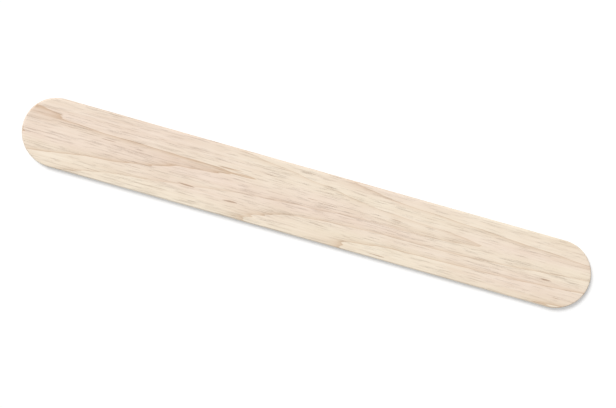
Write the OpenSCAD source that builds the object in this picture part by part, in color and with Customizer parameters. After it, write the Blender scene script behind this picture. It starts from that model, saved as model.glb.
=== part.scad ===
// Wooden tongue depressor: one flat stick with parallel sides, full-round ends
// and edges eased all the way round. It lies on its lower face, with the origin
// at the centre of that face, +X along the stick and +Z up. Millimetres.

/* [Blade] */
// Length from tip to tip
blade_length = 101.6; // [60:0.1:200]
// Width between the long sides
blade_width = 12; // [8:0.5:25]
// Thickness between the two broad faces
blade_thickness = 1.2; // [0.8:0.1:3]
// Radius to which tumbling has eased every edge
edge_radius = 0.3; // [0.1:0.05:0.35]

/* [Hidden] */
$fn = 96;
end_radius = blade_width / 2;
straight_run = blade_length - 2 * end_radius;
birch = [0.92, 0.85, 0.77];

// Half of the cross-section: the centre plane is at x = 0, the eased side at x = end_radius
module half_section() {
    square([end_radius - edge_radius, blade_thickness]);
    translate([0, edge_radius])
        square([end_radius, blade_thickness - 2 * edge_radius]);
    for (y = [edge_radius, blade_thickness - edge_radius])
        translate([end_radius - edge_radius, y])
            circle(r = edge_radius);
}

// The stretch between the two ends, with the whole cross-section drawn along +X
module parallel_sides() {
    rotate([90, 0, 90])
        linear_extrude(height = straight_run, center = true) {
            half_section();
            mirror([1, 0]) half_section();
        }
}

// One rounded tip towards +X: the half section swept round half a turn
module rounded_end() {
    translate([straight_run / 2, 0, 0])
        rotate([0, 0, -90])
            rotate_extrude(angle = 180)
                half_section();
}

module blade() {
    color(birch)
        union() {
            parallel_sides();
            rounded_end();
            mirror([1, 0, 0]) rounded_end();
        }
}

blade();
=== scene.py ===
"""Looks of a wooden tongue depressor: one stick of peeled birch veneer, die-cut and tumbled,
lying on a white surface. Lengths are in millimetres until they reach Blender. Everything is in
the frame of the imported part: +X along the stick, +Z up, the origin under the stick's middle."""

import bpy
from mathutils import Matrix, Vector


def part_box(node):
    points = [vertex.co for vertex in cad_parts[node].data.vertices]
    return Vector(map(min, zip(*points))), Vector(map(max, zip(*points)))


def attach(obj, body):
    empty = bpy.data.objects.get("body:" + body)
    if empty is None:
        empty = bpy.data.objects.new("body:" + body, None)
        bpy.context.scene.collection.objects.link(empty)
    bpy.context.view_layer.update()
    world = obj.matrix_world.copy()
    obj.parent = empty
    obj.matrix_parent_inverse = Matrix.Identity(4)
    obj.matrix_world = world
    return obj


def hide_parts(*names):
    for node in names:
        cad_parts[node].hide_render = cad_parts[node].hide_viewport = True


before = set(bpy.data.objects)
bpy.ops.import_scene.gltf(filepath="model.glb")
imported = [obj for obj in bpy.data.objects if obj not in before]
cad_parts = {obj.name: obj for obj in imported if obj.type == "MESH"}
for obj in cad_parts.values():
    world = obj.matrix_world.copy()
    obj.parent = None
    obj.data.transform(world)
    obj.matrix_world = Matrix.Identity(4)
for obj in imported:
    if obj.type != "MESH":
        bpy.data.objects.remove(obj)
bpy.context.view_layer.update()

import math

import bpy
import numpy as np
from mathutils import Matrix, Vector

MM = 0.001

# The stick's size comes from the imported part. The eased edge repeats the part's own value.
low, high = (np.array(corner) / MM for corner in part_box("blade"))
LENGTH, WIDTH, THICKNESS = high - low
EDGE_RADIUS = 0.3
END_RADIUS = WIDTH / 2
STRAIGHT_HALF = LENGTH / 2 - END_RADIUS
FLAT_RADIUS = END_RADIUS - EDGE_RADIUS

# Steps of the mesh: along the straight stretch, out to each tip, across a face, round each eased
# edge, and down the wall between the eased edges
STRAIGHT_STEPS = 224
END_STEPS = 16
CROSS_STEPS = 130
EASE_STEPS = 5
WALL_STEPS = 8

# Unevenness of the surface: how deep each kind goes at most, the size of its cells along X, Y
# and Z, its seed, and how many layers it has, each half as large and as strong as the last
RELIEF = [
    {"on": "all", "depth": 0.018, "cell": (14.0, 0.42, 0.36), "seed": 11, "layers": 3},
    {"on": "all", "depth": 0.022, "cell": (15.0, 6.0, 6.0), "seed": 21, "layers": 1},
    {"on": "rim", "depth": 0.020, "cell": (4.0, 0.6, 0.16), "seed": 31, "layers": 2},
    {"on": "tips", "depth": 0.100, "cell": (0.8, 0.30, 0.18), "seed": 41, "layers": 2},
]

# Where each island of the UV map lies in the bake image's height, from 0 to 1
TOP_BAND = (0.005, 0.455)
LOWER_BAND = (0.465, 0.905)
RIM_BANDS = ((0.915, 0.952), (0.962, 0.998))

# Share of the image's width that stays free on either side of them
UV_MARGIN = 0.004

# How much more of the map a tip's wall gets than as long a stretch of a side
TIP_ROOM = 2.5

# The picture: how far the stick slopes down to the right, how far the camera leans back from
# straight above, the width that the picture takes in, and the camera's own lengths
STICK_SLOPE = math.radians(15.8)
CAMERA_LEAN = math.radians(4.6)
FRAME_WIDTH = 106.0
LENS = 60.0
SENSOR = 36.0
CLIP_NEAR, CLIP_FAR = 1.0, 20000.0

# Directions in the picture, as seen from above
PICTURE_RIGHT = Vector((math.cos(STICK_SLOPE), math.sin(STICK_SLOPE), 0))
PICTURE_UP = Vector((-math.sin(STICK_SLOPE), math.cos(STICK_SLOPE), 0))
UPWARD = Vector((0, 0, 1))

# Light: the sun and the sky together show a colour on a level surface about as it is written,
# and the surroundings are seen at the strength that is full white
SUN_DIRECTION = PICTURE_UP * 0.7 - PICTURE_RIGHT * 0.5 + UPWARD
SUN_STRENGTH = 2.65
SUN_WIDTH = math.radians(24)
SKY_STRENGTH = 0.36
WHITE_STRENGTH = 1.0

# Floor: its paint takes the shadow, and its lift shows the rest as full white
FLOOR_REACH = 4000.0
FLOOR_PAINT = 0.72
FLOOR_LIFT = 0.31


# Seeded noise for the mesh, from a table with so many entries each way, which then repeats
LATTICE = 64


def lattice_noise(points, cell, seed):
    """Smooth noise from 0 to 1 at each point, with cells of the given size along X, Y and Z."""
    table = np.random.default_rng(seed).random((LATTICE,) * 3)
    scaled = points / np.array(cell) + LATTICE / 2
    base = np.floor(scaled).astype(int)
    part = scaled - base
    part = part * part * (3 - 2 * part)
    total = np.zeros(len(points))
    for corner in np.ndindex(2, 2, 2):
        weight = np.prod(np.where(corner, part, 1 - part), axis=1)
        index = (base + corner) % LATTICE
        total += weight * table[index[:, 0], index[:, 1], index[:, 2]]
    return total


def layered_noise(points, cell, seed, layers):
    """Several layers of lattice_noise, each half as large and as strong as the last."""
    total, weight = np.zeros(len(points)), 0.0
    for layer in range(layers):
        scale = 0.5**layer
        total += scale * lattice_noise(points, np.array(cell) * scale, seed + layer)
        weight += scale
    return total / weight


# The stick's mesh
def face_plan():
    """X and Y of the flat face's grid: straight rows, and at each end a half square bent round."""
    across = np.linspace(-1, 1, CROSS_STEPS + 1)
    along = np.linspace(-STRAIGHT_HALF, STRAIGHT_HALF, STRAIGHT_STEPS + 1)
    middle_x, middle_y = np.meshgrid(along, FLAT_RADIUS * across, indexing="ij")
    reach = np.linspace(0, 1, END_STEPS + 1)[1:, None]
    end_x = FLAT_RADIUS * reach * np.sqrt(1 - across**2 / 2)
    end_y = FLAT_RADIUS * across * np.sqrt(1 - reach**2 / 2)
    x = np.vstack([-STRAIGHT_HALF - end_x[::-1], middle_x, STRAIGHT_HALF + end_x])
    y = np.vstack([end_y[::-1], middle_y, end_y])
    return x, y


def outline_of(index):
    """The outer entries of a grid of indices, counter-clockwise seen from above."""
    return np.concatenate([index[:-1, 0], index[-1, :-1], index[:0:-1, -1], index[0, :0:-1]])


def rim_profile():
    """Each ring of the rim from the top down: how far out it lies, its height and its slope."""
    slopes = np.linspace(0, math.pi / 2, EASE_STEPS + 1)[1:]
    upper = [
        (EDGE_RADIUS * math.sin(a), THICKNESS - EDGE_RADIUS * (1 - math.cos(a)), a)
        for a in slopes
    ]
    heights = np.linspace(THICKNESS - EDGE_RADIUS, EDGE_RADIUS, WALL_STEPS + 1)[1:-1]
    wall = [(EDGE_RADIUS, height, math.pi / 2) for height in heights]
    lower = [(out, THICKNESS - height, math.pi - a) for out, height, a in reversed(upper)]
    return upper + wall + lower


def ideal_surface():
    """Points of the even stick, in the order top face, lower face and rim rings, and the
    direction that each faces, with the face grid's shape."""
    x, y = face_plan()
    flat = np.stack([x.ravel(), y.ravel()], 1)
    edge = flat[outline_of(np.arange(x.size).reshape(x.shape))]
    centre = np.stack([np.clip(edge[:, 0], -STRAIGHT_HALF, STRAIGHT_HALF), 0 * edge[:, 1]], 1)
    outward = (edge - centre) / FLAT_RADIUS
    places = [np.column_stack([flat, np.full(len(flat), z)]) for z in (THICKNESS, 0.0)]
    facing = [np.tile([0, 0, z], (len(flat), 1)) for z in (1.0, -1.0)]
    for out, height, slope in rim_profile():
        places.append(np.column_stack([edge + out * outward, np.full(len(edge), height)]))
        level = np.full(len(edge), math.cos(slope))
        facing.append(np.column_stack([outward * math.sin(slope), level]))
    return np.vstack(places), np.vstack(facing), x.shape


def worn_surface(places, facing):
    """The same points, each sunk along its own direction by the wood's unevenness."""
    rim = 1 - np.abs(facing[:, 2])
    share = {"all": 1.0, "rim": rim, "tips": rim * np.abs(facing[:, 0])}
    depth = np.zeros(len(places))
    for kind in RELIEF:
        noise = layered_noise(places, kind["cell"], kind["seed"], kind["layers"])
        depth += share[kind["on"]] * kind["depth"] * noise
    return places - depth[:, None] * facing


def stick_quads(shape):
    """Quads of the mesh, all facing outward: top face, lower face, and the rim ring by ring."""
    index = np.arange(shape[0] * shape[1]).reshape(shape)
    top = np.stack([index[:-1, :-1], index[1:, :-1], index[1:, 1:], index[:-1, 1:]], -1)
    top = top.reshape(-1, 4)
    edge = outline_of(index)
    first = 2 * index.size
    between = [first + k * len(edge) + np.arange(len(edge)) for k in range(len(rim_profile()))]
    rings = [edge, *between, edge + index.size]
    rim = [
        np.stack([above, below, np.roll(below, -1), np.roll(above, -1)], 1)
        for above, below in zip(rings[:-1], rings[1:])
    ]
    return top, top[:, ::-1] + index.size, np.stack(rim)


def spread(values, band):
    """Values from 0 to 1 moved into a band."""
    return band[0] + values * (band[1] - band[0])


def face_map(places, quads, band):
    """UV of a broad face: its length across the image and its width up one band."""
    corners = places[quads.ravel()]
    u = spread(corners[:, 0] / LENGTH + 0.5, (UV_MARGIN, 1 - UV_MARGIN))
    return np.stack([u, spread(corners[:, 1] / WIDTH + 0.5, band)], 1)


def rim_map(places, rim):
    """UV of the rim, unrolled in two halves, each with one long side and one tip."""
    rings, count = rim.shape[:2]
    half = count // 2
    outer = places[rim[rings // 2, :, 0]]
    steps = np.linalg.norm(np.roll(outer, -1, axis=0) - outer, axis=1)
    steps[np.abs(outer[:, 0]) > STRAIGHT_HALF] *= TIP_ROOM
    down = np.linspace(0, 1, rings + 1)
    uv = np.empty((rings, count, 4, 2))
    for side, band in enumerate(RIM_BANDS):
        run = slice(side * half, side * half + half)
        along = np.concatenate([[0], np.cumsum(steps[run])])
        u = spread(along / along[-1], (UV_MARGIN, 1 - UV_MARGIN))
        uv[:, run, :, 0] = np.stack([u[:-1], u[:-1], u[1:], u[1:]], -1)
        v = spread(down, band)
        uv[:, run, :, 1] = np.stack([v[:-1], v[1:], v[1:], v[:-1]], -1)[:, None, :]
    return uv.reshape(-1, 2)


def make_stick():
    """The whole stick as one closed mesh."""
    ideal, facing, shape = ideal_surface()
    top, lower, rim = stick_quads(shape)
    quads = np.vstack([top, lower, rim.reshape(-1, 4)])
    mesh = bpy.data.meshes.new("stick")
    mesh.from_pydata((worn_surface(ideal, facing) * MM).tolist(), [], quads.tolist())
    uv = [face_map(ideal, top, TOP_BAND), face_map(ideal, lower, LOWER_BAND), rim_map(ideal, rim)]
    layer = mesh.uv_layers.new(name="OFBake")
    layer.uv.foreach_set("vector", np.vstack(uv).astype(np.float32).ravel())
    mesh.shade_smooth()
    mesh.update()
    stick = bpy.data.objects.new("stick", mesh)
    bpy.context.scene.collection.objects.link(stick)
    return stick


# Materials
def linear(red, green, blue):
    """The linear colour of three sRGB values from 0 to 255."""
    parts = [value / 255 for value in (red, green, blue)]
    curve = [p / 12.92 if p <= 0.04045 else ((p + 0.055) / 1.055) ** 2.4 for p in parts]
    return (*curve, 1.0)


# Colours of the wood and of the marks in it
CREAM = linear(244, 231, 211)
PINKISH = linear(240, 221, 205)
LATEWOOD = linear(194, 157, 119)
PORE = linear(174, 126, 82)
FLECK = linear(150, 104, 66)
END_GRAIN = linear(190, 168, 142)

# Growth rings: where their pith lies under the stick, how wide each ring is, how much further
# out each millimetre along the stick brings it, and how far waves and ripples shift it
PITH = (0.0, 1.6, -26.0)
RING_WIDTH = 0.8
RING_SLANT = 0.022
RING_WAVES = 4.0
RING_RIPPLES = 0.35

# Each ring darkens towards its end: the power and the share of its soft band and of its line
RING_BAND = (3.0, 0.3)
RING_LINE = (18.0, 0.7)

# Noise in the wood: how many cells each has per millimetre along X, Y and Z, and its settings
NOISE = {
    "waves": {"per_mm": (0.012, 0.12, 0.12), "detail": 1.0},
    "ripples": {"per_mm": (0.07, 0.8, 0.8), "shift": 2.6},
    "drift": {"per_mm": (0.016, 0.15, 0.5), "shift": 7.3},
    "curl": {"per_mm": (0.22, 0.09, 0.09), "detail": 1.0, "shift": 8.8},
    "fibre": {"per_mm": (0.018, 2.4, 2.4), "detail": 5.0, "roughness": 0.62, "shift": 3.1},
    "fine": {"per_mm": (0.13, 20.0, 20.0), "shift": 5.7},
    "clusters": {"per_mm": (0.05, 0.7, 0.7), "shift": 4.4},
    "pores": {"per_mm": (0.21, 18.0, 18.0), "detail": 1.0, "shift": 1.9},
    "flecks": {"per_mm": (0.15, 1.9, 1.9), "detail": 1.0, "shift": 9.4},
    "torn": {"per_mm": (0.45, 7.0, 7.0), "detail": 3.0, "shift": 6.2},
    "crushed": {"per_mm": (5.0, 16.0, 9.0), "detail": 3.0, "roughness": 0.6, "shift": 0.7},
}

# Eased ranges: from the first value to the second, the result goes from the third to the fourth
RING_STRENGTHS = (0.0, 1.0, 0.45, 1.0)
RING_END = (0.985, 1.0, 1.0, 0.0)
PINK_BY_DRIFT = (0.35, 0.65, 0.0, 1.0)
SHADES = {
    "fibre": (0.28, 0.72, 0.94, 1.03),
    "curl": (0.30, 0.70, 0.975, 1.015),
    "fine": (0.30, 0.70, 0.955, 1.02),
}
PORES_BY_NOISE = (0.735, 0.83, 0.0, 1.0)
PORES_BY_CUT = (0.0, 1.0, 1.0, 0.3)
FLECKS_BY_NOISE = (0.745, 0.79, 0.0, 1.0)
CUT_BY_TURN = (0.25, 0.95, 0.0, 1.0)
WALL_BY_TURN = (0.2, 0.9, 1.0, 0.0)
DARK_BY_CRUSHED = (0.35, 0.65, 0.62, 0.18)
ROUGHNESS_BY_FIBRE = (0.25, 0.75, 0.62, 0.50)

# A darker shade is also a warmer one: the power of its factor in red, green and blue
WARMTH = (0.7, 1.0, 1.3)

# How far each mark takes the colour to its own, and how much the clusters crowd the pores
RING_SHARE = 0.9
PORE_SHARE = 0.24
FLECK_SHARE = 0.55
CROWDING = 0.22

# Bump: its depth in millimetres, and by what share of it each layer rises
BUMP_DEPTH = 0.05
BUMP_RISE = {"fibre": 0.35, "fine": 0.3, "pores": -0.45, "torn": 0.9, "ragged": 1.2}

# Sheen of the bare wood, which is less than a varnished surface has
SPECULAR = 0.35


class Nodes:
    """Adds nodes to one tree. Each call returns the output socket of what it made."""

    def __init__(self, owner):
        owner.use_nodes = True
        self.tree = owner.node_tree
        self.tree.nodes.clear()

    def add(self, kind, inputs, output=0, **settings):
        made = self.tree.nodes.new("ShaderNode" + kind)
        for name, value in settings.items():
            setattr(made, name, value)
        for key, value in inputs.items():
            if isinstance(value, bpy.types.NodeSocket):
                self.tree.links.new(value, made.inputs[key])
            else:
                made.inputs[key].default_value = value
        return made.outputs[output]

    def finish(self, kind, surface):
        """Links the surface to the output of a Material or of the World."""
        end = self.tree.nodes.new("ShaderNodeOutput" + kind)
        self.tree.links.new(surface, end.inputs["Surface"])

    def math(self, operation, *values):
        return self.add("Math", dict(enumerate(values)), operation=operation)

    def vector(self, operation, *values, output=0):
        return self.add("VectorMath", dict(enumerate(values)), output, operation=operation)

    def mix(self, share, first, second, blend="MIX"):
        """Two colours mixed. The node's sockets for colours are 6 and 7, and 2 for the result."""
        inputs = {0: share, 6: first, 7: second}
        return self.add("Mix", inputs, 2, data_type="RGBA", blend_type=blend)

    def marked(self, colour, mark, share, mark_colour):
        """colour, and where the mark is full, that share of the mark's own colour."""
        return self.mix(self.math("MULTIPLY", mark, share), colour, mark_colour)

    def shaded(self, colour, factor):
        """colour times a factor near 1, which makes it warmer where it makes it darker."""
        parts = [self.math("POWER", factor, power) for power in WARMTH]
        shade = self.add("CombineColor", dict(enumerate(parts)))
        return self.mix(1.0, colour, shade, "MULTIPLY")

    def between(self, value, low, high, to_low, to_high):
        """value from low to high, eased, as to_low to to_high, and level outside."""
        inputs = {0: value, 1: low, 2: high, 3: to_low, 4: to_high}
        return self.add("MapRange", inputs, interpolation_type="SMOOTHSTEP")

    def noise(self, place, per_mm, detail=2.0, roughness=0.5, shift=0.0):
        """Noise with that many cells per millimetre along X, Y and Z."""
        moved = self.vector("MULTIPLY_ADD", place, per_mm, (shift,) * 3)
        return self.add(
            "TexNoise", {"Vector": moved, "Scale": 1.0, "Detail": detail, "Roughness": roughness}
        )

    def turned_to(self, axis):
        """How squarely the surface faces along an axis, either way, from 0 to 1."""
        facing = self.add("NewGeometry", {}, "Normal")
        return self.math("ABSOLUTE", self.vector("DOT_PRODUCT", facing, axis, output="Value"))

    def shows_white(self):
        """1 for rays that see or mirror the surroundings, and 0 for those that bring light."""
        path = self.add("LightPath", {}).node
        seen = self.math("MAXIMUM", path.outputs["Is Camera Ray"], path.outputs["Is Glossy Ray"])
        return self.math("MAXIMUM", seen, path.outputs["Is Transmission Ray"])


def growth_rings(nodes, place, layer):
    """Darkness of the growth rings, from 0 in the early wood to 1 where a ring ends."""
    centred = nodes.vector("SUBTRACT", place, PITH)
    section = nodes.vector("MULTIPLY", centred, (0.0, 1.0, 1.0))
    reach = nodes.vector("LENGTH", section, output="Value")
    slant = nodes.vector("DOT_PRODUCT", place, (RING_SLANT, 0.0, 0.0), output="Value")
    reach = nodes.math("ADD", reach, slant)
    for name, height in (("waves", RING_WAVES), ("ripples", RING_RIPPLES)):
        waver = nodes.math("SUBTRACT", layer[name], 0.5)
        reach = nodes.math("MULTIPLY_ADD", waver, height, reach)
    rings = nodes.math("DIVIDE", reach, RING_WIDTH)
    part = nodes.math("FRACT", rings)
    dark = 0.0
    for power, share in (RING_BAND, RING_LINE):
        dark = nodes.math("MULTIPLY_ADD", nodes.math("POWER", part, power), share, dark)
    dark = nodes.math("MULTIPLY", dark, nodes.between(part, *RING_END))
    number = nodes.math("FLOOR", rings)
    strength = nodes.add("TexWhiteNoise", {"W": number}, noise_dimensions="1D")
    return nodes.math("MULTIPLY", dark, nodes.between(strength, *RING_STRENGTHS))


def wood_layers(nodes):
    """What the wood's look is made of, by name, each a value from 0 to 1."""
    metres = nodes.add("TexCoord", {}, "Object")
    place = nodes.add("VectorMath", {0: metres, "Scale": 1 / MM}, operation="SCALE")
    layer = {name: nodes.noise(place, **settings) for name, settings in NOISE.items()}
    cut = nodes.between(nodes.turned_to((1, 0, 0)), *CUT_BY_TURN)
    wall = nodes.between(nodes.turned_to((0, 0, 1)), *WALL_BY_TURN)
    crowded = nodes.math("MULTIPLY_ADD", layer["clusters"], CROWDING, layer["pores"])
    pores = nodes.between(crowded, *PORES_BY_NOISE)
    dark = nodes.between(layer["crushed"], *DARK_BY_CRUSHED)
    layer["rings"] = growth_rings(nodes, place, layer)
    layer["pores"] = nodes.math("MULTIPLY", pores, nodes.between(cut, *PORES_BY_CUT))
    layer["flecks"] = nodes.between(layer["flecks"], *FLECKS_BY_NOISE)
    layer["torn"] = nodes.math("MULTIPLY", layer["torn"], wall)
    layer["ragged"] = nodes.math("MULTIPLY", layer["crushed"], cut)
    layer["end_grain"] = nodes.math("MULTIPLY", dark, cut)
    return layer


def wood_colour(nodes, layer):
    """Cream to pinkish wood with its rings, shades and marks, darker where the grain is cut."""
    colour = nodes.mix(nodes.between(layer["drift"], *PINK_BY_DRIFT), CREAM, PINKISH)
    colour = nodes.marked(colour, layer["rings"], RING_SHARE, LATEWOOD)
    for name, shades in SHADES.items():
        colour = nodes.shaded(colour, nodes.between(layer[name], *shades))
    colour = nodes.marked(colour, layer["pores"], PORE_SHARE, PORE)
    colour = nodes.marked(colour, layer["flecks"], FLECK_SHARE, FLECK)
    return nodes.mix(layer["end_grain"], colour, END_GRAIN)


def wood_bump(nodes, layer):
    """Fine relief that is too small for the mesh."""
    height = 0.0
    for name, rise in BUMP_RISE.items():
        height = nodes.math("MULTIPLY_ADD", layer[name], rise, height)
    return nodes.add("Bump", {"Height": height, "Strength": 1.0, "Distance": BUMP_DEPTH * MM})


def wood_material():
    """Peeled birch: wavering rings, fibre, fine pores, a few flecks and drifting colour."""
    material = bpy.data.materials.new("birch")
    nodes = Nodes(material)
    layer = wood_layers(nodes)
    finish = {
        "Base Color": wood_colour(nodes, layer),
        "Roughness": nodes.between(layer["fibre"], *ROUGHNESS_BY_FIBRE),
        "Normal": wood_bump(nodes, layer),
        "Specular IOR Level": SPECULAR,
    }
    nodes.finish("Material", nodes.add("BsdfPrincipled", finish))
    return material


def floor_material():
    """White floor that keeps the stick's shadow, and shows as full white elsewhere."""
    material = bpy.data.materials.new("white_floor")
    nodes = Nodes(material)
    paint = nodes.add("BsdfDiffuse", {"Color": (FLOOR_PAINT, FLOOR_PAINT, FLOOR_PAINT, 1.0)})
    strength = nodes.math("MULTIPLY", nodes.shows_white(), FLOOR_LIFT)
    lift = nodes.add("Emission", {"Strength": strength})
    nodes.finish("Material", nodes.add("AddShader", {0: paint, 1: lift}))
    return material


# The stage
def make_floor():
    """The wide level surface that the stick lies on."""
    mesh = bpy.data.meshes.new("floor")
    reach = FLOOR_REACH * MM
    corners = [(-reach, -reach, 0), (reach, -reach, 0), (reach, reach, 0), (-reach, reach, 0)]
    mesh.from_pydata(corners, [], [(0, 1, 2, 3)])
    mesh.materials.append(floor_material())
    floor = bpy.data.objects.new("floor", mesh)
    bpy.context.scene.collection.objects.link(floor)


def make_camera():
    """A camera that looks down on the stick's middle, leaning back a little."""
    data = bpy.data.cameras.new("camera")
    data.lens, data.sensor_width = LENS, SENSOR
    data.clip_start, data.clip_end = CLIP_NEAR * MM, CLIP_FAR * MM
    back = UPWARD * math.cos(CAMERA_LEAN) + PICTURE_UP * math.sin(CAMERA_LEAN)
    up = PICTURE_UP * math.cos(CAMERA_LEAN) - UPWARD * math.sin(CAMERA_LEAN)
    target = Vector((0, 0, THICKNESS * MM))
    distance = FRAME_WIDTH * MM * LENS / SENSOR
    turn = Matrix((PICTURE_RIGHT, up, back)).transposed().to_4x4()
    camera = bpy.data.objects.new("camera", data)
    camera.matrix_world = Matrix.Translation(target + back * distance) @ turn
    bpy.context.scene.collection.objects.link(camera)
    bpy.context.scene.camera = camera


def make_sun():
    """A wide sun from the picture's upper left, whose shadows have soft edges."""
    data = bpy.data.lights.new("sun", "SUN")
    data.energy, data.angle = SUN_STRENGTH, SUN_WIDTH
    sun = bpy.data.objects.new("sun", data)
    sun.rotation_mode = "QUATERNION"
    sun.rotation_quaternion = SUN_DIRECTION.to_track_quat("Z", "Y")
    bpy.context.scene.collection.objects.link(sun)


def make_sky():
    """Even light from all round, which shows as full white where it is seen."""
    sky = bpy.data.worlds.new("sky")
    nodes = Nodes(sky)
    brighter = nodes.math("MULTIPLY", nodes.shows_white(), WHITE_STRENGTH - SKY_STRENGTH)
    strength = nodes.math("ADD", brighter, SKY_STRENGTH)
    nodes.finish("World", nodes.add("Background", {"Color": (1, 1, 1, 1), "Strength": strength}))
    bpy.context.scene.world = sky


stick = make_stick()
stick.data.materials.append(wood_material())
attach(stick, "root")
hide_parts("blade")
make_floor()
make_sun()
make_sky()
make_camera()
bpy.context.scene.view_settings.view_transform = "Standard"
